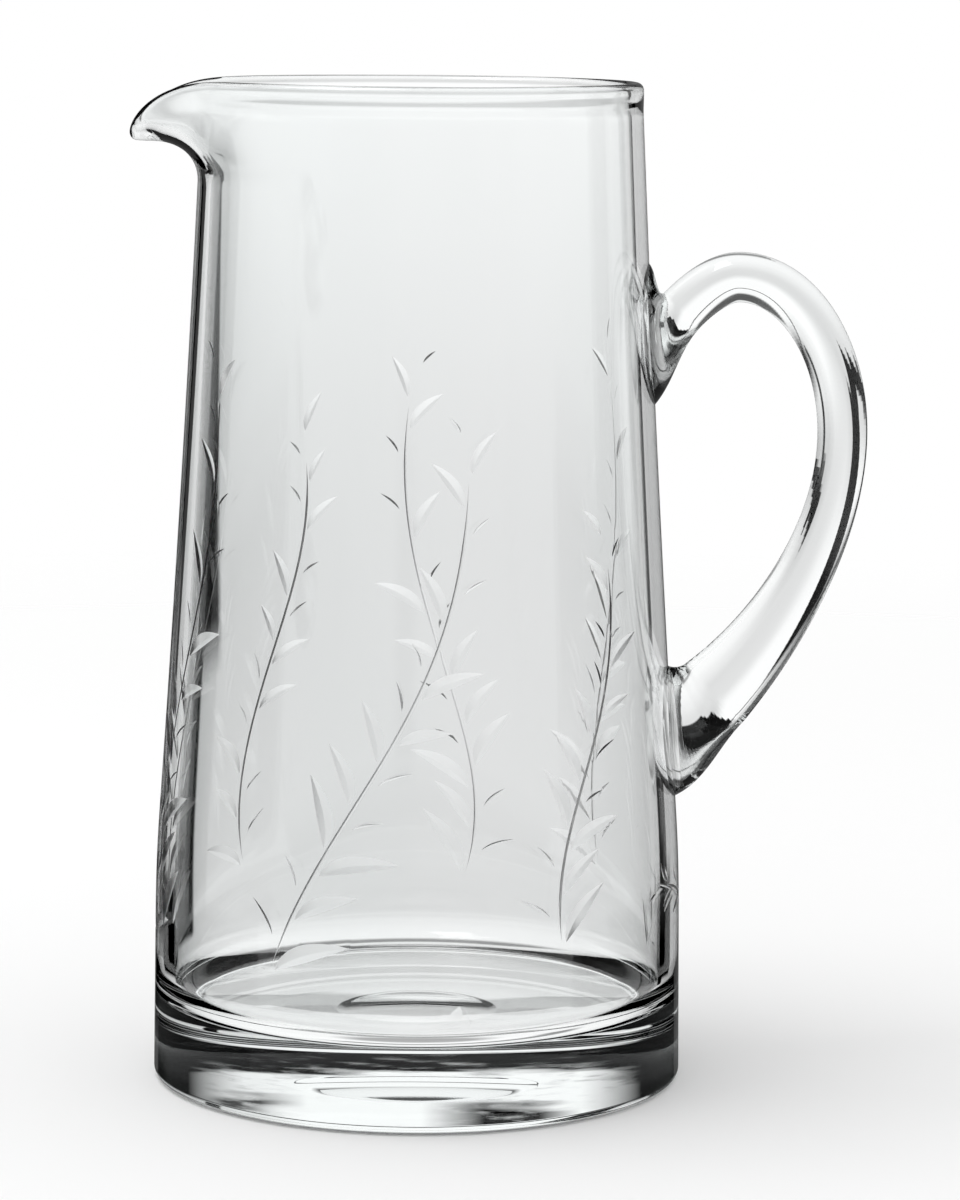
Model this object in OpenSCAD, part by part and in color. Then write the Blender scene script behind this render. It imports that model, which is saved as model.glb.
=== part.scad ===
// Glass cocktail pitcher: a blown, tapered body with a heavy base and a pulled spout,
// and a solid handle drawn from a second gather of glass and sealed to the wall.
// Millimetres, +Z up, origin at the centre of the foot, spout towards -X, handle towards +X.

/* [Body] */
// Height from the foot to the rim
body_h = 235; // [215:1:270]
// Outside diameter at the foot
base_d = 125.4; // [112:0.2:140]
// Outside diameter where the wall starts to lean in
hip_d = 124.2; // [110:0.2:138]
// Outside diameter of the wall at the rim
rim_d = 102; // [92:0.2:110]
// Height at which the wall starts to lean in
hip_z = 52; // [36:1:70]
// Height over which the lower wall turns into the leaning one
hip_run = 22; // [10:1:40]
// Share of extra lean just above the hip, which the wall loses again towards the rim
wall_curve_share = 0.2; // [0:0.01:0.3]
// Wall thickness at the level of the foot
wall_base = 4.6; // [3.4:0.1:6]
// Wall thickness at the rim
wall_rim = 2.9; // [2.2:0.1:3.6]
// Thickness of the fire-polished bead round the rim
bead_d = 3.5; // [2.8:0.1:4.6]
// Thickness of the solid glass under the floor
floor_h = 18; // [12:1:26]
// Radius of the curve from the floor into the wall
floor_fillet = 8; // [4:0.5:12]
// Radius of the foot's outer edge
foot_round = 3; // [1:0.5:6]
// Diameter of the polished dish left where the pontil rod was ground away
pontil_d = 38; // [24:1:60]
// Depth of that dish
pontil_depth = 1.6; // [0.6:0.1:3]

/* [Spout] */
// Length of wall below the rim that the spout is pulled from
spout_h = 36; // [32:1:44]
// Length of that wall that stays straight, below the bend
spout_straight = 12.5; // [8:0.5:14]
// Radius of the bend, at the middle of the wall
spout_bend_r = 10; // [7:0.5:11]
// Angle that the lip turns out through, at its tip
spout_bend = 88; // [60:1:92]
// Angle round the rim, from the tip, at which the lip has turned half as far
spout_half_angle = 12; // [10:1:24]
// The same angle for the shallow dip that leads into the spout
spout_lead_angle = 34; // [28:1:50]
// Share of the turn that the shallow dip takes
spout_lead_share = 0.1; // [0:0.01:0.15]

/* [Handle] */
// Thickness of the rod, seen from the side
rod_d = 11.7; // [9:0.1:14]
// Thickness that the rod is growing to on its way down to the lower seal
rod_low_d = 23.8; // [16:0.2:28]
// Width of the rod, seen from behind
rod_w = 13; // [10:0.1:16]
// Height at which the rod's middle line leaves the wall, above
upper_root_z = 173; // [162:1:180]
// Height at which the rod's middle line meets the wall, below
lower_root_z = 83; // [70:1:92]
// Rise from the upper root to the crest of the handle
crest_rise = 17; // [12:0.2:22]
// Distance from the wall at the upper root out to the crest
crest_out = 20; // [16:0.2:26]
// Drop from the crest to the handle's outermost point
outer_drop = 37; // [28:0.2:44]
// Distance from the wall at the upper root out to the outermost point
outer_out = 44.8; // [38:0.2:54]
// Upward angle at which the rod leaves the wall, above
upper_leave_angle = 60; // [40:1:66]
// Upward angle of the rod where it meets the wall, below
lower_leave_angle = 35; // [25:1:50]

/* [Seals] */
// Height of the upper seal's middle
upper_seal_z = 176.5; // [168:0.5:184]
// Height of the upper seal, up the wall
upper_seal_h = 33; // [26:0.5:40]
// Height of the lower seal's middle
lower_seal_z = 82.4; // [74:0.2:92]
// Height of the lower seal, up the wall
lower_seal_h = 31; // [26:0.5:40]
// Width of both seals, round the wall
seal_w = 20; // [16:0.5:26]
// Angle at which the upper seal's skin leans in over its own middle, from square to the wall
upper_seal_lean = 49; // [20:1:65]
// The same angle for the lower seal
lower_seal_lean = 26; // [0:1:45]

/* [Hidden] */
$fn = 96;

// Glass as the photograph shows it: clear, a little grey
glass_colour = [0.86, 0.88, 0.88, 0.45];

// Outside of the wall: an almost upright band above the foot runs into a wall that leans in.
// The two are blended where they cross.
base_r = base_d / 2;
hip_r = hip_d / 2;
rim_r = rim_d / 2;
low_slope = (base_r - hip_r) / hip_z;
lean_slope = (hip_r - rim_r) / (body_h - hip_z) * (1 + wall_curve_share);
blend = hip_run / 2 * abs(lean_slope - low_slope);
function low_r(z) = base_r - low_slope * z;
function lean_r(z) =
    let (q = (z - hip_z) / (body_h - hip_z))
    hip_r - (hip_r - rim_r) * (q + wall_curve_share * q * (1 - q));
function outer_r(z) =
    let (gap = max(0, 1 - abs(low_r(z) - lean_r(z)) / blend))
    min(low_r(z), lean_r(z)) - blend * gap * gap / 4;
function wall_at(z) = wall_base + (wall_rim - wall_base) * z / body_h;
function inner_r(z) = outer_r(z) - wall_at(z);

// Steps up the wall, in its curves, round the collar, along its bend and over its bead
wall_steps = 24;
arc_steps = 12;
collar_steps = 96;
bend_steps = 7;
bead_steps = 4;

// The revolved body ends, and the collar that holds the spout begins, at this height
collar_z = body_h - spout_h;
// Depth that the collar's root is let into the wall below, and how far it stays inside that wall
collar_root = 1.5;
collar_inset = 0.05;
// Length at the rim over which the wall thickens into the bead
bead_run = 6;

// Points of an arc round a centre, from one angle to another
function arc(centre, r, from, to, steps) =
    [for (i = [0 : steps])
        let (a = from + (to - from) * i / steps)
        centre + r * [cos(a), sin(a)]];

// Outline of the revolved body, from the pontil dish round the foot, up the wall and down inside
dish_r = (pow(pontil_d / 2, 2) + pow(pontil_depth, 2)) / (2 * pontil_depth);
dish_angle = asin(pontil_d / 2 / dish_r);
foot_centre_r = outer_r(foot_round) - foot_round;
fillet_z = floor_h + floor_fillet;
fillet_centre_r = inner_r(fillet_z) - floor_fillet;
wall_outside = [for (i = [1 : wall_steps])
    let (z = foot_round + (collar_z - foot_round) * i / wall_steps) [outer_r(z), z]];
wall_inside = [for (i = [0 : wall_steps - 1])
    let (z = collar_z + (fillet_z - collar_z) * i / wall_steps) [inner_r(z), z]];
foot_outside = arc([foot_centre_r, foot_round], foot_round, -90, 0, arc_steps);
body_outline = concat(
    arc([0, pontil_depth - dish_r], dish_r, 90, 90 - dish_angle, arc_steps),
    foot_outside,
    wall_outside,
    wall_inside,
    arc([fillet_centre_r, fillet_z], floor_fillet, 0, -90, arc_steps),
    [[0, floor_h]]);

// How far the lip is turned out at an angle round the rim, measured from the spout's tip
function swell(turn, half_angle) = pow((1 + cos(turn)) / 2, ln(0.5) / ln((1 + cos(half_angle)) / 2));
function lip_bend(turn) = spout_bend * ((1 - spout_lead_share) * swell(turn, spout_half_angle)
                                        + spout_lead_share * swell(turn, spout_lead_angle));

// Middle of the collar's wall, from its root: straight, round the bend, then straight to the edge.
// Gives [radius, height, lean from the vertical].
collar_mid_r = (outer_r(collar_z) + inner_r(collar_z)) / 2;
rim_mid_r = (outer_r(body_h) + inner_r(body_h)) / 2;
taper_angle = atan((collar_mid_r - rim_mid_r) / spout_h);
collar_length = norm([collar_mid_r - rim_mid_r, spout_h]);
function bend_end(bend) = spout_straight + spout_bend_r * bend * PI / 180;
function lean_at(s, bend) = -taper_angle + max(0, min(bend, (s - spout_straight) / spout_bend_r * 180 / PI));
function collar_mid(s, bend) =
    let (lean = lean_at(s, bend),
         before = min(s, spout_straight),
         after = max(0, s - bend_end(bend)))
    [collar_mid_r - before * sin(taper_angle) + after * sin(lean)
        + spout_bend_r * (cos(taper_angle) - cos(lean)),
     collar_z + before * cos(taper_angle) + after * cos(lean)
        + spout_bend_r * (sin(lean) + sin(taper_angle)),
     lean];

// Half the collar's thickness along its length
edge_s = collar_length - bead_d / 2;
function collar_half(s) =
    let (plain = (wall_at(collar_z) + (wall_rim - wall_at(collar_z)) * s / collar_length) / 2 - collar_inset,
         run = max(0, min(1, 1 - (edge_s - s) / bead_run)))
    plain + (bead_d / 2 - plain) * run * run * (3 - 2 * run);

// Places along the collar at which its section is drawn
collar_stations = concat(
    [-collar_root, 0, spout_straight / 2],
    [for (i = [0 : bend_steps]) spout_straight + (edge_s - bead_run - spout_straight) * i / bend_steps],
    [for (i = [1 : bead_steps]) edge_s - bead_run + bead_run * i / bead_steps]);
function collar_side(s, bend, side) =
    let (m = collar_mid(s, bend))
    [m[0] + side * collar_half(s) * cos(m[2]), m[1] - side * collar_half(s) * sin(m[2])];
function collar_edge(bend) =
    let (m = collar_mid(edge_s, bend))
    [for (i = [1 : 2 * bead_steps - 1])
        let (a = 180 * i / (2 * bead_steps) - m[2])
        [m[0] + bead_d / 2 * cos(a), m[1] + bead_d / 2 * sin(a)]];
function collar_section(bend) = concat(
    [for (s = collar_stations) collar_side(s, bend, 1)],
    collar_edge(bend),
    [for (i = [len(collar_stations) - 1 : -1 : 0]) collar_side(collar_stations[i], bend, -1)]);

// Triangles between two rings of points that have the same count
function ring_faces(from, to, count) =
    [for (j = [0 : count - 1], half = [0, 1])
        half == 0 ? [from + j, from + (j + 1) % count, to + j]
                  : [from + (j + 1) % count, to + (j + 1) % count, to + j]];

// Top of the wall, whose lip is turned out into the spout
module collar() {
    sections = [for (k = [0 : collar_steps - 1])
        let (turn = 360 * k / collar_steps)
        [for (p = collar_section(lip_bend(turn))) [-p[0] * cos(turn), -p[0] * sin(turn), p[1]]]];
    count = len(sections[0]);
    polyhedron(
        points = [for (ring = sections, p = ring) p],
        faces = [for (k = [0 : collar_steps - 1])
            each ring_faces(k * count, (k + 1) % collar_steps * count, count)]);
}

// The blown body: base, wall, rim and spout are one gather of glass
module body() color(glass_colour) {
    rotate_extrude() polygon(body_outline);
    collar();
}

// Steps along each third of the handle's rod, along each seal, and round the rod
rod_steps = 16;
seal_steps = 10;
rod_sides = 28;
// Where along the thirds the upper seal has become the rod, and the rod becomes the lower seal
upper_end = 0.36;
lower_start = 2.8;
// Control share of a curve that stands for a quarter of an ellipse
quarter_share = 0.5523;
// Shares of the handle's spans that the other control points stand out by
leave_share = 0.3;
fall_share = 0.415;
return_share = 0.287;
// Share of a seal's length that its skin's control points stand out by
skin_share = 0.35;
// Depth that the seals reach into the wall before they are cut to it
seal_sink = 0.8;

// Middle line of the rod, in the plane of the spout and the handle
upper_root = [outer_r(upper_root_z), upper_root_z];
lower_root = [outer_r(lower_root_z), lower_root_z];
crest = upper_root + [crest_out, crest_rise];
outermost = [upper_root[0] + outer_out, crest[1] - outer_drop];
upper_way = [cos(upper_leave_angle), sin(upper_leave_angle)];
lower_way = [cos(lower_leave_angle), sin(lower_leave_angle)];
fall = outermost[1] - lower_root[1];
rod_curves = [
    [upper_root, upper_root + upper_way * leave_share * (crest_out + crest_rise),
     crest - [leave_share * crest_out, 0], crest],
    [crest, crest + [quarter_share * (outer_out - crest_out), 0],
     outermost + [0, quarter_share * outer_drop], outermost],
    [outermost, outermost - [0, fall_share * fall],
     lower_root + lower_way * return_share * fall, lower_root]];
function along(c, t) =
    pow(1 - t, 3) * c[0] + 3 * pow(1 - t, 2) * t * c[1] + 3 * (1 - t) * t * t * c[2] + pow(t, 3) * c[3];
function way(c, t) =
    let (d = pow(1 - t, 2) * (c[1] - c[0]) + 2 * (1 - t) * t * (c[2] - c[1]) + t * t * (c[3] - c[2]))
    d / norm(d);
function rod_third(u) = min(2, floor(u));
function rod_middle(u) = along(rod_curves[rod_third(u)], u - rod_third(u));
function rod_way(u) = way(rod_curves[rod_third(u)], u - rod_third(u));

// One section of the rod, square to its middle line; the rod thickens on its way down
function rod_half(u) = (rod_d + (rod_low_d - rod_d) * pow(max(0, u - 2), 2)) / 2;
function rod_ring(u) =
    let (m = rod_middle(u), w = rod_way(u))
    [for (j = [0 : rod_sides - 1])
        let (a = 360 * j / rod_sides)
        [m[0] - w[1] * rod_half(u) * cos(a), rod_w / 2 * sin(a), m[1] + w[0] * rod_half(u) * cos(a)]];

// A seal's edge on the wall, an upright oval; side is 1 where the rod's first point lies above
function on_wall(y, z, sink) = [sqrt(pow(outer_r(z) - sink, 2) - y * y), y, z];
function seal_edge(z, h, side, sink) =
    [for (j = [0 : rod_sides - 1])
        let (a = 360 * j / rod_sides)
        on_wall(seal_w / 2 * sin(a), z + side * h / 2 * cos(a), sink)];

// A seal's skin: from each point of its edge it rises off the wall and runs out along the rod
function unit(v) = v / norm(v);
function seal_rings(edge, ring, z, lean, rod_dir) =
    let (middle = on_wall(0, z, 0))
    [for (i = [0 : seal_steps - 1])
        [for (j = [0 : rod_sides - 1])
            let (p = edge[j],
                 q = ring[j],
                 out = unit([p[0], p[1], 0]),
                 reach = norm(q - p) * skin_share,
                 rise = unit(out * cos(lean) + unit(middle - p) * sin(lean)))
            along([p, p + rise * reach, q - [rod_dir[0], 0, rod_dir[1]] * reach, q], i / seal_steps)]];
upper_rings = seal_rings(seal_edge(upper_seal_z, upper_seal_h, 1, 0), rod_ring(upper_end),
                         upper_seal_z, upper_seal_lean, rod_way(upper_end));
lower_rings = seal_rings(seal_edge(lower_seal_z, lower_seal_h, -1, 0), rod_ring(lower_start),
                         lower_seal_z, lower_seal_lean, -rod_way(lower_start));
rod_count = round((lower_start - upper_end) * rod_steps);
handle_rings = concat(
    [seal_edge(upper_seal_z, upper_seal_h, 1, seal_sink)],
    upper_rings,
    [for (i = [0 : rod_count]) rod_ring(upper_end + (lower_start - upper_end) * i / rod_count)],
    [for (i = [seal_steps - 1 : -1 : 0]) lower_rings[i]],
    [seal_edge(lower_seal_z, lower_seal_h, -1, seal_sink)]);

// Everything inside the wall's outer face
module wall_core() rotate_extrude()
    polygon(concat([[0, 0]], foot_outside, wall_outside, [[0, collar_z]]));

// The handle: its two seals lie against the outside of the wall
module handle() color(glass_colour) difference() {
    last = (len(handle_rings) - 1) * rod_sides;
    polyhedron(
        points = [for (ring = handle_rings, p = ring) p],
        faces = concat(
            [for (j = [1 : rod_sides - 2]) [0, j + 1, j]],
            [for (i = [0 : len(handle_rings) - 2])
                each ring_faces(i * rod_sides, (i + 1) * rod_sides, rod_sides)],
            [for (j = [1 : rod_sides - 2]) [last, last + j, last + j + 1]]));
    wall_core();
}

body();
handle();
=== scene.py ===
import math

import bmesh
import bpy
from mathutils import Matrix, Vector


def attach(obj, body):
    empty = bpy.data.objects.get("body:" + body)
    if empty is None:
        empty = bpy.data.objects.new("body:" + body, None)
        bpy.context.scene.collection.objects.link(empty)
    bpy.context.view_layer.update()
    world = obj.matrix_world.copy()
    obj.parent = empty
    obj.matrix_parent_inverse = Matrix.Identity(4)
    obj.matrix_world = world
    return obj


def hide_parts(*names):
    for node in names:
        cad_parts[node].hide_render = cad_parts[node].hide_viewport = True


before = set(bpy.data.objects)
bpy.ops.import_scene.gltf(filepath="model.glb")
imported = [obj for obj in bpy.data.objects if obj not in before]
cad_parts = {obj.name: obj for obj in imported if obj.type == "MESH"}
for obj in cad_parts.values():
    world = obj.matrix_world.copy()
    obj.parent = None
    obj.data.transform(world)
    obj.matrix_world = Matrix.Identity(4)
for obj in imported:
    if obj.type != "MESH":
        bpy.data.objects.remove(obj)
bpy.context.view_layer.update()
scene = bpy.context.scene
mm = 0.001
print("stage: frame loaded")

# Glass of body and handle. Lengths of the pieces are in millimetres.
glass = {
    "ior": 1.5,
    "clear": (0.985, 0.99, 0.99),
    "streak": (0.955, 0.97, 0.968),
    "streakScale": 14.0,
    "streakDetail": 3,
    "streakRange": (0.35, 0.65),
    "drawnOut": (1, 1, 0.25),
    "polished": 0.004,
    "wear": 0.03,
    "wearScale": 160,
    "wearDetail": 4,
    "wearFrom": 0.45,
    "wearGain": 4,
    "wornHeight": 0.0015,
    "cut": 0.28,
    "waveScale": 34.0,
    "waveDetail": 1,
    "waveHeight": 0.0009,
    "waveStrength": 0.02,
    "absorb": (0.80, 0.88, 0.87),
    "absorbDensity": 2.2,
}


def link(tree, source, target):
    tree.links.new(source, target)


def mathNode(tree, operation, first, second=None, clamp=False):
    node = tree.nodes.new("ShaderNodeMath")
    node.operation = operation
    node.use_clamp = clamp
    for place, value in enumerate((first, second)):
        if value is None:
            continue
        if isinstance(value, (int, float)):
            node.inputs[place].default_value = value
        else:
            link(tree, value, node.inputs[place])
    return node.outputs[0]


def rampNode(tree, factor, stops):
    node = tree.nodes.new("ShaderNodeValToRGB")
    ramp = node.color_ramp
    ramp.interpolation = "LINEAR"
    while len(ramp.elements) > 1:
        ramp.elements.remove(ramp.elements[-1])
    for place, (position, value) in enumerate(stops):
        element = ramp.elements[0] if place == 0 else ramp.elements.new(position)
        element.position = position
        element.color = (value, value, value, 1) if isinstance(value, (int, float)) else (*value, 1)
    link(tree, factor, node.inputs["Fac"])
    return node.outputs["Color"]


# Streaks, faint wear and slow waves that all the glass shares
def glassGroup():
    tree = bpy.data.node_groups.new("glassSurface", "ShaderNodeTree")
    face = tree.interface
    face.new_socket(name="Cut", in_out="INPUT", socket_type="NodeSocketFloat")
    face.new_socket(name="Colour", in_out="OUTPUT", socket_type="NodeSocketColor")
    face.new_socket(name="Roughness", in_out="OUTPUT", socket_type="NodeSocketFloat")
    face.new_socket(name="Height", in_out="OUTPUT", socket_type="NodeSocketFloat")
    inside = tree.nodes.new("NodeGroupInput")
    outside = tree.nodes.new("NodeGroupOutput")
    place = tree.nodes.new("ShaderNodeTexCoord")

    drawn = tree.nodes.new("ShaderNodeMapping")
    drawn.inputs["Scale"].default_value = glass["drawnOut"]
    link(tree, place.outputs["Object"], drawn.inputs["Vector"])
    streaks = tree.nodes.new("ShaderNodeTexNoise")
    streaks.inputs["Scale"].default_value = glass["streakScale"]
    streaks.inputs["Detail"].default_value = glass["streakDetail"]
    link(tree, drawn.outputs["Vector"], streaks.inputs["Vector"])
    dim, bright = glass["streakRange"]
    colour = rampNode(tree, streaks.outputs["Fac"], [(dim, glass["streak"]), (bright, glass["clear"])])

    wear = tree.nodes.new("ShaderNodeTexNoise")
    wear.inputs["Scale"].default_value = glass["wearScale"]
    wear.inputs["Detail"].default_value = glass["wearDetail"]
    link(tree, place.outputs["Object"], wear.inputs["Vector"])
    apart = tree.nodes.new("ShaderNodeSeparateXYZ")
    link(tree, place.outputs["Object"], apart.inputs["Vector"])
    foot = mathNode(tree, "SUBTRACT", 1, mathNode(tree, "MULTIPLY", apart.outputs["Z"], 1 / glass["wornHeight"]), True)
    spots = mathNode(tree, "SUBTRACT", wear.outputs["Fac"], glass["wearFrom"])
    spots = mathNode(tree, "MULTIPLY", spots, glass["wearGain"], True)
    worn = mathNode(tree, "MULTIPLY", mathNode(tree, "MULTIPLY", spots, foot), glass["wear"])
    cut = mathNode(tree, "MULTIPLY", inside.outputs["Cut"], glass["cut"])
    rough = mathNode(tree, "ADD", mathNode(tree, "ADD", worn, cut), glass["polished"])

    waves = tree.nodes.new("ShaderNodeTexNoise")
    waves.inputs["Scale"].default_value = glass["waveScale"]
    waves.inputs["Detail"].default_value = glass["waveDetail"]
    link(tree, drawn.outputs["Vector"], waves.inputs["Vector"])

    link(tree, colour, outside.inputs["Colour"])
    link(tree, rough, outside.inputs["Roughness"])
    link(tree, waves.outputs["Fac"], outside.inputs["Height"])
    return tree


surface = glassGroup()


def glassMaterial(name, cutAttribute=None):
    material = bpy.data.materials.new(name)
    material.use_nodes = True
    tree = material.node_tree
    shader = tree.nodes["Principled BSDF"]
    shader.inputs["Transmission Weight"].default_value = 1
    shader.inputs["IOR"].default_value = glass["ior"]
    shared = tree.nodes.new("ShaderNodeGroup")
    shared.node_tree = surface
    if cutAttribute:
        cut = tree.nodes.new("ShaderNodeAttribute")
        cut.attribute_name = cutAttribute
        link(tree, cut.outputs["Fac"], shared.inputs["Cut"])
    bump = tree.nodes.new("ShaderNodeBump")
    bump.inputs["Strength"].default_value = glass["waveStrength"]
    bump.inputs["Distance"].default_value = glass["waveHeight"]
    link(tree, shared.outputs["Height"], bump.inputs["Height"])
    link(tree, shared.outputs["Colour"], shader.inputs["Base Color"])
    link(tree, shared.outputs["Roughness"], shader.inputs["Roughness"])
    link(tree, bump.outputs["Normal"], shader.inputs["Normal"])
    absorb = tree.nodes.new("ShaderNodeVolumeAbsorption")
    absorb.inputs["Color"].default_value = (*glass["absorb"], 1)
    absorb.inputs["Density"].default_value = glass["absorbDensity"]
    link(tree, absorb.outputs["Volume"], tree.nodes["Material Output"].inputs["Volume"])
    return material


def addPiece(name, bm, material):
    bmesh.ops.scale(bm, vec=(mm, mm, mm), verts=bm.verts)
    mesh = bpy.data.meshes.new(name)
    bm.to_mesh(mesh)
    bm.free()
    piece = bpy.data.objects.new(name, mesh)
    scene.collection.objects.link(piece)
    mesh.materials.append(material)
    return piece


# Body: foot, wall, rim and spout are one gather
body = {
    "height": 235.0, "baseR": 62.7, "hipR": 62.1, "rimR": 51.0,
    "hipZ": 52.0, "hipRun": 22.0, "curveShare": 0.2,
    "wallBase": 4.6, "wallRim": 2.9, "beadR": 1.75, "beadRun": 6.0,
    "floor": 18.0, "fillet": 8.0, "footRound": 1.8,
    "pontilR": 19.0, "pontilDepth": 1.6,
    "spoutH": 36.0, "straight": 12.5, "bendR": 10.0, "bend": 88.0,
    "halfAngle": 12.0, "leadAngle": 34.0, "leadShare": 0.1,
    "edgeRun": 0.3, "footRings": (30, 45), "floorShares": (0.75, 0.5, 0.25, 0), "merge": 0.0005,
    "wallSteps": 44, "collarSteps": 30, "turnSteps": 360,
    "dishSteps": 10, "footSteps": 12, "beadSteps": 16, "filletSteps": 14,
}


def outerR(z):
    b = body
    lowSlope = (b["baseR"] - b["hipR"]) / b["hipZ"]
    drop = b["hipR"] - b["rimR"]
    run = b["height"] - b["hipZ"]
    blend = b["hipRun"] / 2 * abs(drop / run * (1 + b["curveShare"]) - lowSlope)
    q = (z - b["hipZ"]) / run
    low = b["baseR"] - lowSlope * z
    lean = b["hipR"] - drop * (q + b["curveShare"] * q * (1 - q))
    gap = max(0, 1 - abs(low - lean) / blend)
    return min(low, lean) - blend * gap * gap / 4


def wallAt(z):
    return body["wallBase"] + (body["wallRim"] - body["wallBase"]) * z / body["height"]


def innerR(z):
    return outerR(z) - wallAt(z)


collarZ = body["height"] - body["spoutH"]
collarMidR = outerR(collarZ) - wallAt(collarZ) / 2
rimMidR = outerR(body["height"]) - wallAt(body["height"]) / 2
taper = math.atan((collarMidR - rimMidR) / body["spoutH"])
collarLength = math.hypot(collarMidR - rimMidR, body["spoutH"])
edgeS = collarLength - body["beadR"]


def collarHalf(s):
    plain = (wallAt(collarZ) + (body["wallRim"] - wallAt(collarZ)) * s / collarLength) / 2
    run = max(0, min(1, 1 - (edgeS - s) / body["beadRun"]))
    return plain + (body["beadR"] - plain) * run * run * (3 - 2 * run)


def collarPoint(s, off):
    return (collarMidR - s * math.sin(taper) + off * math.cos(taper),
            collarZ + s * math.cos(taper) + off * math.sin(taper))


def arc(centre, radius, start, end, steps):
    angles = [math.radians(start + (end - start) * i / steps) for i in range(steps + 1)]
    return [(centre[0] + radius * math.cos(a), centre[1] + radius * math.sin(a)) for a in angles]


# Outline from the pontil dish round the foot, up the wall, over the bead and down inside.
# Points close to the edges of the foot's flat keep its shading flat.
def bodyOutline():
    b = body
    dishR = (b["pontilR"] ** 2 + b["pontilDepth"] ** 2) / (2 * b["pontilDepth"])
    dishAngle = math.degrees(math.asin(b["pontilR"] / dishR))
    footR = outerR(b["footRound"]) - b["footRound"]
    filletZ = b["floor"] + b["fillet"]
    filletR = innerR(filletZ) - b["fillet"]
    line = arc((0, b["pontilDepth"] - dishR), dishR, 90, 90 - dishAngle, b["dishSteps"])
    line += [(r, 0) for r in (b["pontilR"] + b["edgeRun"], *b["footRings"], footR - b["edgeRun"])]
    line += arc((footR, b["footRound"]), b["footRound"], -90, 0, b["footSteps"])
    line.append((outerR(b["footRound"] + b["edgeRun"]), b["footRound"] + b["edgeRun"]))
    n = b["wallSteps"]
    line += [(outerR(z), z) for z in (b["footRound"] + (collarZ - b["footRound"]) * i / n for i in range(1, n))]
    stations = [edgeS * i / b["collarSteps"] for i in range(b["collarSteps"] + 1)]
    line += [collarPoint(s, collarHalf(s)) for s in stations]
    for i in range(1, b["beadSteps"]):
        a = math.pi * i / b["beadSteps"]
        line.append(collarPoint(edgeS + b["beadR"] * math.sin(a), b["beadR"] * math.cos(a)))
    line += [collarPoint(s, -collarHalf(s)) for s in reversed(stations)]
    line += [(innerR(z), z) for z in (collarZ + (filletZ - collarZ) * i / n for i in range(1, n))]
    line += arc((filletR, filletZ), b["fillet"], 0, -90, b["filletSteps"])
    line += [(filletR * share, b["floor"]) for share in b["floorShares"]]
    return line


def swell(turn, half):
    power = math.log(0.5) / math.log((1 + math.cos(math.radians(half))) / 2)
    return max(0, (1 + math.cos(turn)) / 2) ** power


def lipBend(turn):
    b = body
    share = b["leadShare"]
    swelling = (1 - share) * swell(turn, b["halfAngle"]) + share * swell(turn, b["leadAngle"])
    return math.radians(b["bend"]) * swelling


# Turns a point of the straight collar out into the spout, with its length kept
def bendLip(point):
    radius = math.hypot(point.x, point.y)
    turn = math.atan2(-point.y, -point.x)
    away = (radius - collarMidR, point.z - collarZ)
    s = -away[0] * math.sin(taper) + away[1] * math.cos(taper)
    off = away[0] * math.cos(taper) + away[1] * math.sin(taper)
    if s <= body["straight"]:
        return point
    bend = lipBend(turn)
    bendR = body["bendR"]
    lean = -taper + min(bend, (s - body["straight"]) / bendR)
    after = max(0, s - body["straight"] - bendR * bend)
    lowR = collarMidR - body["straight"] * math.sin(taper)
    lowZ = collarZ + body["straight"] * math.cos(taper)
    midR = lowR + after * math.sin(lean) + bendR * (math.cos(taper) - math.cos(lean))
    midZ = lowZ + after * math.cos(lean) + bendR * (math.sin(lean) + math.sin(taper))
    newR = midR + off * math.cos(lean)
    return Vector((-newR * math.cos(turn), -newR * math.sin(turn), midZ - off * math.sin(lean)))


def buildBody():
    bm = bmesh.new()
    points = [bm.verts.new((r, 0, z)) for r, z in bodyOutline()]
    for first, second in zip(points, points[1:]):
        bm.edges.new((first, second))
    bmesh.ops.spin(bm, geom=bm.verts[:] + bm.edges[:], cent=(0, 0, 0), axis=(0, 0, 1),
                   angle=2 * math.pi, steps=body["turnSteps"], use_merge=True)
    bmesh.ops.remove_doubles(bm, verts=bm.verts, dist=body["merge"])
    bmesh.ops.recalc_face_normals(bm, faces=bm.faces)
    for vert in bm.verts:
        if vert.co.z > collarZ:
            vert.co = bendLip(vert.co)
    return bm


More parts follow.
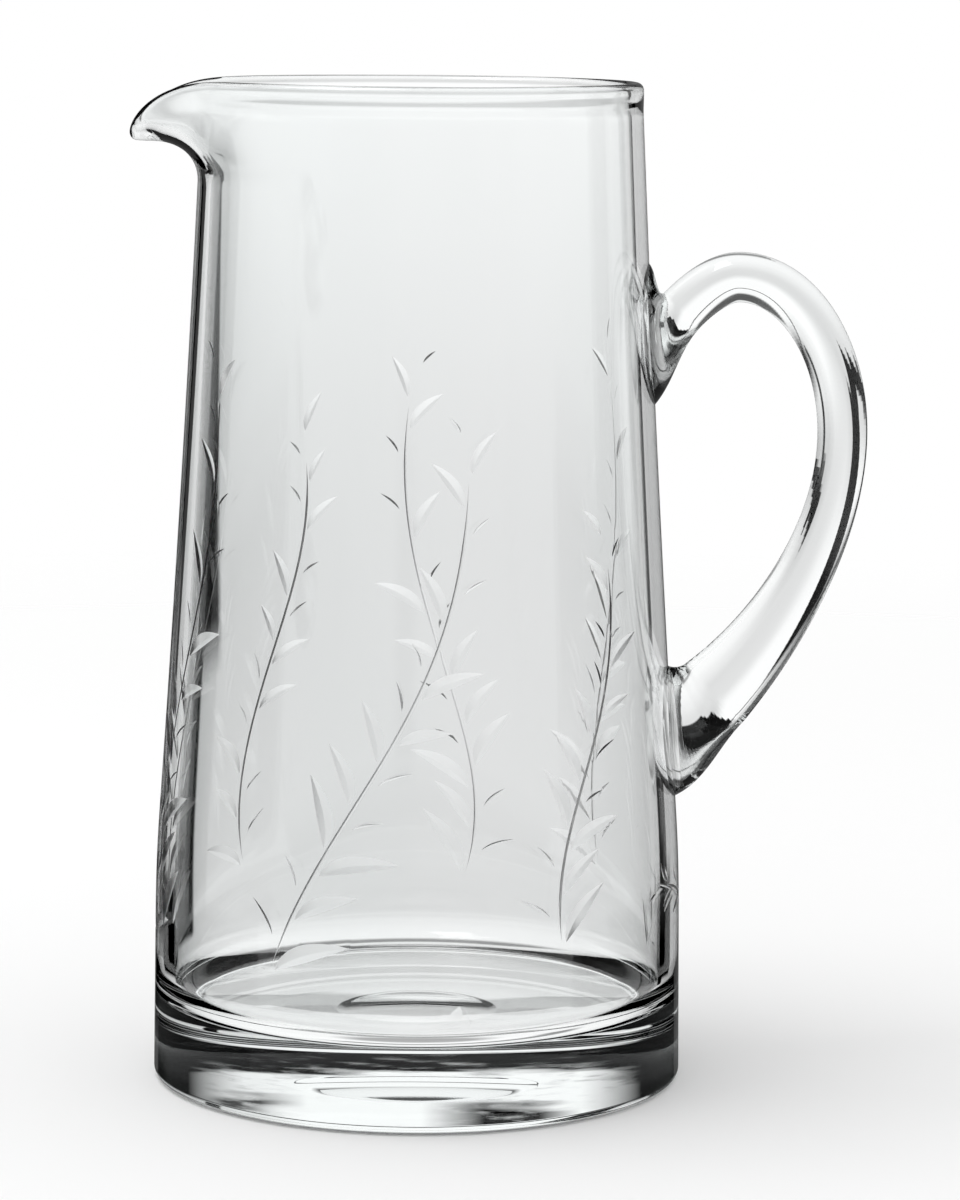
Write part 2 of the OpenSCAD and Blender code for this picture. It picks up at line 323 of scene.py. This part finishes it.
# Cut foliage: a plain willow spray, laid out in turns round the wall and heights up it.
# Each stem runs through four points (degrees from the front, height), with leaves on both sides.
engraving = {
    "stemHalf": 0.34, "stemDepth": 0.2,
    "leafTilt": 17.0, "leafTiltFar": 11.0, "leafDepth": 0.026, "leafStart": 1.5,
    "tickTilt": 56.0, "tickDepth": 0.4, "tickStart": 3.0,
    "lift": 0.14, "gap": 0.25, "lowest": 24, "highest": 192, "sharpAngle": 6,
    "stemSteps": 90, "stemTaper": 7, "boatSteps": 24, "fullness": 0.16, "bow": 0.07, "tickShare": 0.5,
    "firstLeaf": 0.05, "leafRun": 0.94, "nearby": 0.01, "tickCycle": 5, "tickPlaces": (1, 3),
    "spread": 50, "spreadFall": 14, "spreadSway": 6, "spreadStep": 2.1,
    "shrink": 0.4, "sizeMean": 0.92, "sizeSway": 0.12, "sizeStep": 1.7, "sizeStart": 0.4,
    "stems": [
        {"way": [(-34, 28), (-20, 78), (14, 96), (12, 158)], "leaves": 11, "length": 19},
        {"way": [(34, 36), (24, 72), (58, 92), (48, 134)], "leaves": 9, "length": 17},
        {"way": [(-70, 30), (-92, 80), (-44, 112), (-58, 172)], "leaves": 12, "length": 18},
        {"way": [(104, 24), (98, 36), (86, 48), (66, 50)], "leaves": 6, "length": 12},
        {"way": [(128, 34), (146, 80), (104, 112), (120, 172)], "leaves": 12, "length": 18},
        {"way": [(172, 28), (152, 70), (196, 104), (182, 164)], "leaves": 11, "length": 19},
        {"way": [(226, 34), (244, 76), (202, 104), (214, 148)], "leaves": 10, "length": 17},
        {"way": [(268, 28), (284, 62), (252, 94), (262, 124)], "leaves": 8, "length": 15},
    ],
}
unrollR = 58.0


def bezier(points, t):
    weights = ((1 - t) ** 3, 3 * (1 - t) ** 2 * t, 3 * (1 - t) * t * t, t ** 3)
    return sum((w * p for w, p in zip(weights, points)), 0 * points[0])


# A place on the unrolled wall, lifted off it, as a point in space
def onBody(flat, lift):
    angle = flat.x / unrollR
    radius = outerR(flat.y) + lift
    return Vector((radius * math.sin(angle), -radius * math.cos(angle), flat.y))


# A boat-shaped cutter: its keel follows a line and its sides rise at fixed slopes past the wall
def addBoat(bm, line, depths, tilts):
    lift = engraving["lift"]
    rows = []
    for i, (spot, depth) in enumerate(zip(line, depths)):
        before, after = line[max(0, i - 1)], line[min(len(line) - 1, i + 1)]
        side = (after - before).normalized()
        side = Vector((-side.y, side.x))
        if i in (0, len(line) - 1):
            rows.append([bm.verts.new(onBody(spot, lift))])
        else:
            left = spot + side * (depth + lift) / math.tan(math.radians(tilts[0]))
            right = spot - side * (depth + lift) / math.tan(math.radians(tilts[1]))
            rows.append([bm.verts.new(onBody(left, lift)), bm.verts.new(onBody(spot, -depth)),
                         bm.verts.new(onBody(right, lift))])
    for before, after in zip(rows, rows[1:]):
        for j in range(3):
            a, b = before[j % len(before)], before[(j + 1) % 3 % len(before)]
            c, d = after[(j + 1) % 3 % len(after)], after[j % len(after)]
            corners = []
            for vert in (a, b, c, d):
                if vert not in corners:
                    corners.append(vert)
            if len(corners) > 2:
                bm.faces.new(corners)


# Keel line and depths of a leaf or tick: fullest near its root, out of the wall past both tips
def boatLine(start, way, length, curve, deepest):
    side = Vector((-way.y, way.x))
    past = math.sqrt(1 + engraving["lift"] / deepest)
    line, depths = [], []
    steps = engraving["boatSteps"]
    for i in range(steps + 1):
        x = past * (2 * i / steps - 1)
        along = x - engraving["fullness"] * (1 - x * x) if abs(x) < 1 else x
        line.append(start + way * (length * (along + 1) / 2) + side * curve * (1 - x * x))
        depths.append((1 - x * x) * deepest)
    return line, depths


taken = []


# Half widths of a cut at the wall's surface, along its line
def cutHalves(depths, tilts):
    return [max(0, depth) / math.tan(math.radians(min(tilts))) for depth in depths]


def isFree(line, halves):
    for spot, half in zip(line, halves):
        if half == 0:
            continue
        for other, otherHalf in taken:
            if (spot - other).length < half + otherHalf + engraving["gap"]:
                return False
    return True


def turned(way, angle):
    a = math.radians(angle)
    return Vector((way.x * math.cos(a) - way.y * math.sin(a), way.x * math.sin(a) + way.y * math.cos(a)))


def buildCutters():
    e = engraving
    bm = bmesh.new()
    slope = math.degrees(math.atan(e["stemDepth"] / e["stemHalf"]))
    count, taperRate = e["stemSteps"], e["stemTaper"]
    for stem in e["stems"]:
        way = [Vector((math.radians(a) * unrollR, z)) for a, z in stem["way"]]
        line = [bezier(way, i / count) for i in range(count + 1)]
        shares = [min(1, taperRate * i / count, taperRate * (count - i) / count) for i in range(count + 1)]
        depths = [-e["lift"] + (e["stemDepth"] + e["lift"]) * share for share in shares]
        addBoat(bm, line, depths, (slope, slope))
        taken.extend(zip(line, cutHalves(depths, (slope, slope))))
    cuts = 0
    for stem in e["stems"]:
        way = [Vector((math.radians(a) * unrollR, z)) for a, z in stem["way"]]
        number = stem["leaves"] * 2
        for i in range(number):
            share = i / (number - 1)
            t = e["firstLeaf"] + e["leafRun"] * share
            ahead = (bezier(way, min(1, t + e["nearby"])) - bezier(way, t - e["nearby"])).normalized()
            side = 1 if i % 2 else -1
            isTick = i % e["tickCycle"] in e["tickPlaces"]
            angle = e["spread"] - e["spreadFall"] * share + e["spreadSway"] * math.sin(e["spreadStep"] * i)
            out = turned(ahead, side * angle)
            sway = e["sizeMean"] + e["sizeSway"] * math.sin(e["sizeStep"] * i + e["sizeStart"])
            size = stem["length"] * (1 - e["shrink"] * share) * sway
            if isTick:
                length, deepest, tilts = e["tickShare"] * size, e["tickDepth"], (e["tickTilt"], e["tickTilt"])
            else:
                length, deepest = size, e["leafDepth"] * size
                tilts = (e["leafTilt"], e["leafTiltFar"])[::side]
            start = bezier(way, t) + out * (e["tickStart"] if isTick else e["leafStart"])
            line, depths = boatLine(start, out, length, -side * e["bow"] * length, deepest)
            halves = cutHalves(depths, tilts)
            heights = [spot.y for spot in line]
            if min(heights) < e["lowest"] or max(heights) > e["highest"] or not isFree(line, halves):
                continue
            addBoat(bm, line, depths, tilts)
            taken.extend(zip(line, halves))
            cuts += 1
    bmesh.ops.recalc_face_normals(bm, faces=bm.faces)
    print("stage: foliage laid out,", cuts, "cuts")
    return bm


bodyGlass = glassMaterial("bodyGlass", "cut")
bodyPiece = addPiece("bodyLook", buildBody(), bodyGlass)
bodyPiece.data.attributes.new("cut", "FLOAT", "FACE")
cutter = addPiece("cutter", buildCutters(), bodyGlass)
mark = cutter.data.attributes.new("cut", "FLOAT", "FACE")
mark.data.foreach_set("value", [1.0] * len(cutter.data.polygons))

carve = bodyPiece.modifiers.new("carve", "BOOLEAN")
carve.operation = "DIFFERENCE"
carve.solver = "MANIFOLD"
carve.object = cutter
graph = bpy.context.evaluated_depsgraph_get()
carved = bpy.data.meshes.new_from_object(bodyPiece.evaluated_get(graph), depsgraph=graph)
bodyPiece.modifiers.clear()
bodyPiece.data = carved
bpy.data.objects.remove(cutter)


# Smooth everywhere but along the edges of the cuts
def shadeBody(mesh):
    bm = bmesh.new()
    bm.from_mesh(mesh)
    cut = bm.faces.layers.float["cut"]
    for item in bm.faces:
        item.smooth = True
    for edge in bm.edges:
        faces = edge.link_faces
        if len(faces) == 2 and (faces[0][cut] > 0.5 or faces[1][cut] > 0.5):
            edge.smooth = edge.calc_face_angle(0) < math.radians(engraving["sharpAngle"])
    bm.to_mesh(mesh)
    bm.free()


shadeBody(carved)
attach(bodyPiece, "root")
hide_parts("body")
print("stage: body,", len(carved.polygons), "faces")

# Handle: a drawn rod that spreads into two seals on the wall
handle = {
    "rodD": 11.7, "rodLowD": 23.8, "rodW": 13.0,
    "upperZ": 173.0, "lowerZ": 83.0, "crestRise": 17.0, "crestOut": 20.0,
    "outerDrop": 37.0, "outerOut": 44.8, "upperAngle": 60.0, "lowerAngle": 35.0,
    "upperSealZ": 176.5, "upperSealH": 33.0, "lowerSealZ": 82.4, "lowerSealH": 31.0,
    "sealW": 20.0, "upperLean": 49.0, "lowerLean": 26.0,
    "upperEnd": 0.36, "lowerStart": 2.8, "quarter": 0.5523,
    "leaveShare": 0.3, "fallShare": 0.415, "returnShare": 0.287, "skinShare": 0.35,
    "sink": 0.3, "sides": 72, "rodSteps": 110, "sealSteps": 22,
    "capShares": (0.75, 0.5, 0.25, 0.08),
}


def handleCurves():
    h = handle
    upper = Vector((outerR(h["upperZ"]), h["upperZ"]))
    lower = Vector((outerR(h["lowerZ"]), h["lowerZ"]))
    crest = upper + Vector((h["crestOut"], h["crestRise"]))
    outermost = Vector((upper.x + h["outerOut"], crest.y - h["outerDrop"]))
    upperWay = Vector((math.cos(math.radians(h["upperAngle"])), math.sin(math.radians(h["upperAngle"]))))
    lowerWay = Vector((math.cos(math.radians(h["lowerAngle"])), math.sin(math.radians(h["lowerAngle"]))))
    fall = outermost.y - lower.y
    return [
        [upper, upper + upperWay * h["leaveShare"] * (h["crestOut"] + h["crestRise"]),
         crest - Vector((h["leaveShare"] * h["crestOut"], 0)), crest],
        [crest, crest + Vector((h["quarter"] * (h["outerOut"] - h["crestOut"]), 0)),
         outermost + Vector((0, h["quarter"] * h["outerDrop"])), outermost],
        [outermost, outermost - Vector((0, h["fallShare"] * fall)),
         lower + lowerWay * h["returnShare"] * fall, lower]]


rodCurves = handleCurves()


def rodMiddle(u):
    third = min(2, int(u))
    return bezier(rodCurves[third], u - third)


def rodWay(u):
    third = min(2, int(u))
    c, t = rodCurves[third], u - third
    slope = (1 - t) ** 2 * (c[1] - c[0]) + 2 * (1 - t) * t * (c[2] - c[1]) + t * t * (c[3] - c[2])
    return slope.normalized()


def rodRing(u):
    h = handle
    middle, way = rodMiddle(u), rodWay(u)
    half = (h["rodD"] + (h["rodLowD"] - h["rodD"]) * max(0, u - 2) ** 2) / 2
    ring = []
    for j in range(h["sides"]):
        a = 2 * math.pi * j / h["sides"]
        ring.append(Vector((middle.x - way.y * half * math.cos(a), h["rodW"] / 2 * math.sin(a),
                            middle.y + way.x * half * math.cos(a))))
    return ring


def onWall(y, z, sink):
    return Vector((math.sqrt((outerR(z) - sink) ** 2 - y * y), y, z))


def sealEdge(z, height, side, sink, share=1.0):
    ring = []
    for j in range(handle["sides"]):
        a = 2 * math.pi * j / handle["sides"]
        y = share * handle["sealW"] / 2 * math.sin(a)
        ring.append(onWall(y, z + share * side * height / 2 * math.cos(a), sink))
    return ring


def sealRings(edge, ring, z, lean, rodDir):
    h = handle
    middle = onWall(0, z, 0)
    lean = math.radians(lean)
    rings = []
    for i in range(h["sealSteps"]):
        row = []
        for p, q in zip(edge, ring):
            out = Vector((p.x, p.y, 0)).normalized()
            reach = (q - p).length * h["skinShare"]
            rise = (out * math.cos(lean) + (middle - p).normalized() * math.sin(lean)).normalized()
            row.append(bezier([p, p + rise * reach, q - rodDir * reach, q], i / h["sealSteps"]))
        rings.append(row)
    return rings


def handleRings():
    h = handle
    sink = h["sink"]
    upperDir, lowerDir = rodWay(h["upperEnd"]), -rodWay(h["lowerStart"])
    upper = sealRings(sealEdge(h["upperSealZ"], h["upperSealH"], 1, 0), rodRing(h["upperEnd"]),
                      h["upperSealZ"], h["upperLean"], Vector((upperDir.x, 0, upperDir.y)))
    lower = sealRings(sealEdge(h["lowerSealZ"], h["lowerSealH"], -1, 0), rodRing(h["lowerStart"]),
                      h["lowerSealZ"], h["lowerLean"], Vector((lowerDir.x, 0, lowerDir.y)))
    span = h["lowerStart"] - h["upperEnd"]
    rings = [sealEdge(h["upperSealZ"], h["upperSealH"], 1, sink, share) for share in reversed(h["capShares"])]
    rings.append(sealEdge(h["upperSealZ"], h["upperSealH"], 1, sink))
    rings += upper
    rings += [rodRing(h["upperEnd"] + span * i / h["rodSteps"]) for i in range(h["rodSteps"] + 1)]
    rings += lower[::-1]
    rings.append(sealEdge(h["lowerSealZ"], h["lowerSealH"], -1, sink))
    rings += [sealEdge(h["lowerSealZ"], h["lowerSealH"], -1, sink, share) for share in h["capShares"]]
    return rings


# One ring is drawn out along the whole handle, and both ends are closed
def buildHandle():
    bm = bmesh.new()
    place = bm.verts.layers.int.new("place")
    rings = handleRings()
    verts = bmesh.ops.create_circle(bm, segments=handle["sides"], radius=1)["verts"]
    edges = bm.edges[:]
    bmesh.ops.contextual_create(bm, geom=edges)
    for j, vert in enumerate(verts):
        vert[place] = j
        vert.co = rings[0][j]
    hidden = len(handle["capShares"])
    sharp = (hidden, hidden + 1, len(rings) - hidden - 1, len(rings) - hidden - 2)
    for number, ring in enumerate(rings[1:], 1):
        made = bmesh.ops.extrude_edge_only(bm, edges=edges)["geom"]
        fresh = {item for item in made if isinstance(item, bmesh.types.BMVert)}
        edges = [item for item in made if isinstance(item, bmesh.types.BMEdge)]
        edges = [edge for edge in edges if edge.verts[0] in fresh and edge.verts[1] in fresh]
        for vert in fresh:
            vert.co = ring[vert[place]]
        if number in sharp:
            for edge in edges:
                edge.smooth = False
    bmesh.ops.contextual_create(bm, geom=edges)
    bmesh.ops.recalc_face_normals(bm, faces=bm.faces)
    for item in bm.faces:
        item.smooth = True
    return bm


handlePiece = addPiece("handleLook", buildHandle(), glassMaterial("handleGlass"))
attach(handlePiece, "root")
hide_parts("handle")
print("stage: handle,", len(handlePiece.data.polygons), "faces")


# 1 where the first value is above the second, over a soft edge
def stepUp(tree, first, second, soft):
    rise = mathNode(tree, "DIVIDE", mathNode(tree, "SUBTRACT", first, second), soft)
    return mathNode(tree, "ADD", rise, 0.5, True)


# Floor: pale, near the object only; beyond it the backdrop takes over without an edge.
# Glass looks through it to the backdrop, but for a painted shadow in front of the foot: a dark ring on the floor that
# only the glass sees.
floorLook = {
    "radius": 1.1, "segments": 96, "drop": 0.0004, "colour": (0.93, 0.93, 0.93), "fadeFrom": 0.3, "fadeTo": 0.95,
    # the values below paint a shadow: a dark ring on the floor round the front of the foot, seen only through the
    # glass
    "paintedShadowFrom": 0.0645, "paintedShadowTo": 0.1, "paintedShadowBack": -0.004, "paintedShadowSoft": 0.003, "paintedShadowFade": 0.05, "cardAndPaintedShadowDark": 0.8,
}


def floorMaterial():
    material = bpy.data.materials.new("floorPale")
    material.use_nodes = True
    tree = material.node_tree
    tree.nodes.remove(tree.nodes["Principled BSDF"])
    diffuse = tree.nodes.new("ShaderNodeBsdfDiffuse")
    diffuse.inputs["Color"].default_value = (*floorLook["colour"], 1)
    clear = tree.nodes.new("ShaderNodeBsdfTransparent")
    path = tree.nodes.new("ShaderNodeLightPath")
    place = tree.nodes.new("ShaderNodeTexCoord")
    reach = tree.nodes.new("ShaderNodeVectorMath")
    reach.operation = "LENGTH"
    link(tree, place.outputs["Object"], reach.inputs[0])
    out = reach.outputs["Value"]
    span = floorLook["fadeTo"] - floorLook["fadeFrom"]
    fade = mathNode(tree, "DIVIDE", mathNode(tree, "SUBTRACT", out, floorLook["fadeFrom"]), span, True)
    byGlass = mathNode(tree, "MAXIMUM", path.outputs["Is Transmission Ray"], path.outputs["Is Glossy Ray"])
    away = mathNode(tree, "MAXIMUM", fade, byGlass)
    apart = tree.nodes.new("ShaderNodeSeparateXYZ")
    link(tree, place.outputs["Object"], apart.inputs["Vector"])
    # Painted shadow: darkens the floor as the glass sees it, in a ring round the front of the foot
    soft = floorLook["paintedShadowSoft"]
    cardAndPaintedShadow = mathNode(tree, "MULTIPLY", stepUp(tree, out, floorLook["paintedShadowFrom"], soft),
                    stepUp(tree, floorLook["paintedShadowTo"], out, floorLook["paintedShadowFade"]))
    cardAndPaintedShadow = mathNode(tree, "MULTIPLY", cardAndPaintedShadow, stepUp(tree, floorLook["paintedShadowBack"], apart.outputs["Y"], soft))
    cardAndPaintedShadow = mathNode(tree, "MULTIPLY", mathNode(tree, "MULTIPLY", cardAndPaintedShadow, byGlass), floorLook["cardAndPaintedShadowDark"])
    link(tree, mathNode(tree, "SUBTRACT", 1, cardAndPaintedShadow), clear.inputs["Color"])
    mix = tree.nodes.new("ShaderNodeMixShader")
    link(tree, away, mix.inputs[0])
    link(tree, diffuse.outputs[0], mix.inputs[1])
    link(tree, clear.outputs[0], mix.inputs[2])
    link(tree, mix.outputs[0], tree.nodes["Material Output"].inputs["Surface"])
    return material


floorBm = bmesh.new()
bmesh.ops.create_circle(floorBm, cap_ends=True, segments=floorLook["segments"], radius=floorLook["radius"] / mm)
floor = addPiece("floor", floorBm, floorMaterial())
floor.location.z = -floorLook["drop"]

# Studio: a white backdrop with dark cards, which only the glass sees, as in bright-field glass photography.
# A card is (turn from straight behind, lean per degree up, half width, bottom, top, darkness, soft sides,
# soft ends), in degrees.
studio = {
    "backdrop": 1.0,
    "fill": 0.9,
    "seen": 1.1,
    "mirrored": 0.15,
    "bands": [(-90, 0.96), (-40, 0.97), (-30, 0.93), (-22, 0.85), (-17, 0.76), (-14, 0.72), (-8, 0.72),
              (-6, 0.77), (-4, 0.86), (-2, 0.95), (0, 1.0), (90, 1.0)],
    "cards": [
        # line along the handle and the left wall
        (-24.5, -0.8, 7.5, -9, 12.8, 1, 0.8, 0.8),
        (-20, 0, 6, -13.5, -8.5, 1, 0.8, 0.8),
        (-17, -0.8, 5, -9, -1, 0.15, 7, 7),
        # line along the right wall
        (36.5, 0, 2.5, -19, 11, 1, 0.8, 0.8),
        (32, 0, 3, -16, -8.5, 0.9, 1, 1),
        (42, 0, 22, -20, 14, 0.22, 10, 10),
        (-45, 0, 5, -20, -9, 0.9, 2, 2),
        # band and sides of the base
        (0, 0, 100, 13.2, 14.16, 1, 0.04, 0.04),
        (-80, 0, 42, 6, 20, 1, 20, 9),
        (80, 0, 42, 6, 20, 1, 20, 9),
        (-64, 0, 40, -16.5, -11.5, 1, 1, 1),
        (64, 0, 40, -16.5, -11.5, 1, 1, 1),
        # blotches in the base's bright window, and the front edge of the inner floor
        (-15, 0, 9, 14.58, 14.9, 1, 9, 0.08),
        (29, 0, 9, 14.45, 14.62, 0.9, 9, 0.08),
        (20, 0, 37, -58, -48, 0.7, 5, 5),
        (0, 0, 200, -100, -72, 0.55, 5, 8),
        # seals of the handle and ring of the pontil dish
        (-90, 0, 25, 28, 70, 1, 8, 6),
        (0, 0, 45, 24, 46, 0.9, 8, 4),
        # dark room on the camera's side
        (-150, 0, 55, 3, 70, 0.9, 6, 6),
        (150, 0, 55, 3, 70, 0.9, 6, 6),
        # edges, mostly for views from other sides
        (-60, 0, 10, -12, 22, 1, 2, 2),
        (-82, 0, 7, -33, -20, 0.9, 2, 2),
        (98, 0, 6, -24, -13, 0.9, 2, 2),
        (172, 0, 5, -24, -13, 0.6, 5, 3),
    ],
}


def cardAndPaintedShadowDark(tree, turn, height, cardAndPaintedShadow):
    middle, lean, half, bottom, top, dark, softSide, softEnd = cardAndPaintedShadow
    centre = mathNode(tree, "ADD", mathNode(tree, "MULTIPLY", height, lean), middle) if lean else middle
    away = mathNode(tree, "ABSOLUTE", mathNode(tree, "SUBTRACT", turn, centre))
    inside = mathNode(tree, "MULTIPLY", stepUp(tree, half, away, softSide), dark)
    inside = mathNode(tree, "MULTIPLY", inside, stepUp(tree, height, bottom, softEnd))
    return mathNode(tree, "MULTIPLY", inside, stepUp(tree, top, height, softEnd))


def buildWorld():
    s = studio
    world = bpy.data.worlds.new("studio")
    scene.world = world
    world.use_nodes = True
    tree = world.node_tree
    tree.nodes.clear()
    out = tree.nodes.new("ShaderNodeOutputWorld")
    path = tree.nodes.new("ShaderNodeLightPath")
    place = tree.nodes.new("ShaderNodeTexCoord")
    apart = tree.nodes.new("ShaderNodeSeparateXYZ")
    link(tree, place.outputs["Generated"], apart.inputs["Vector"])
    turn = mathNode(tree, "DEGREES", mathNode(tree, "ARCTAN2", apart.outputs["X"], apart.outputs["Y"]))
    height = mathNode(tree, "DEGREES", mathNode(tree, "ARCSINE", apart.outputs["Z"]))
    upright = mathNode(tree, "ADD", mathNode(tree, "DIVIDE", height, 180), 0.5)
    seen = rampNode(tree, upright, [(0.5 + angle / 180, value) for angle, value in s["bands"]])
    seen = mathNode(tree, "MULTIPLY", seen, s["seen"])
    for cardAndPaintedShadow in s["cards"]:
        seen = mathNode(tree, "MULTIPLY", seen, mathNode(tree, "SUBTRACT", 1, cardAndPaintedShadowDark(tree, turn, height, cardAndPaintedShadow)))

    through, mirrored = path.outputs["Is Transmission Ray"], path.outputs["Is Glossy Ray"]
    share = mathNode(tree, "MAXIMUM", through, mathNode(tree, "MULTIPLY", mirrored, s["mirrored"]))
    others = mathNode(tree, "SUBTRACT", 1, mathNode(tree, "MAXIMUM", through, mirrored))
    strength = mathNode(tree, "ADD", mathNode(tree, "MULTIPLY", seen, share),
                        mathNode(tree, "MULTIPLY", others, s["fill"]))
    direct = path.outputs["Is Camera Ray"]
    strength = mathNode(tree, "ADD", mathNode(tree, "MULTIPLY", strength, mathNode(tree, "SUBTRACT", 1, direct)),
                        mathNode(tree, "MULTIPLY", direct, s["backdrop"]))
    background = tree.nodes.new("ShaderNodeBackground")
    background.inputs["Color"].default_value = (1, 1, 1, 1)
    link(tree, strength, background.inputs["Strength"])
    link(tree, background.outputs[0], out.inputs["Surface"])


buildWorld()

# One soft light above casts the shadow
softbox = {"place": (-0.5, -0.1, 1.5), "aim": (0, 0, 0.1), "size": (0.9, 0.7), "power": 6}
light = bpy.data.lights.new("softbox", "AREA")
light.shape = "RECTANGLE"
light.size, light.size_y = softbox["size"]
light.energy = softbox["power"]
lamp = bpy.data.objects.new("softbox", light)
scene.collection.objects.link(lamp)
lamp.location = softbox["place"]
lamp.rotation_euler = (Vector(softbox["aim"]) - lamp.location).to_track_quat("-Z", "Y").to_euler()
lamp.visible_camera = False
lamp.visible_transmission = False
print("stage: floor and light")

# Camera of the photograph
view = {"place": (0.0143, -1.052, 0.2643), "down": 8.17, "roll": 0.48, "lens": 135.06, "sensor": 36}
camera = bpy.data.objects.new("camera", bpy.data.cameras.new("camera"))
scene.collection.objects.link(camera)
camera.data.lens = view["lens"]
camera.data.sensor_width = view["sensor"]
camera.matrix_world = (Matrix.Translation(view["place"])
                       @ Matrix.Rotation(math.radians(90 - view["down"]), 4, "X")
                       @ Matrix.Rotation(math.radians(view["roll"]), 4, "Z"))
scene.camera = camera
scene.view_settings.view_transform = "Standard"
bounces = 32
scene.cycles.max_bounces = bounces
scene.cycles.transmission_bounces = bounces
scene.cycles.transparent_max_bounces = bounces
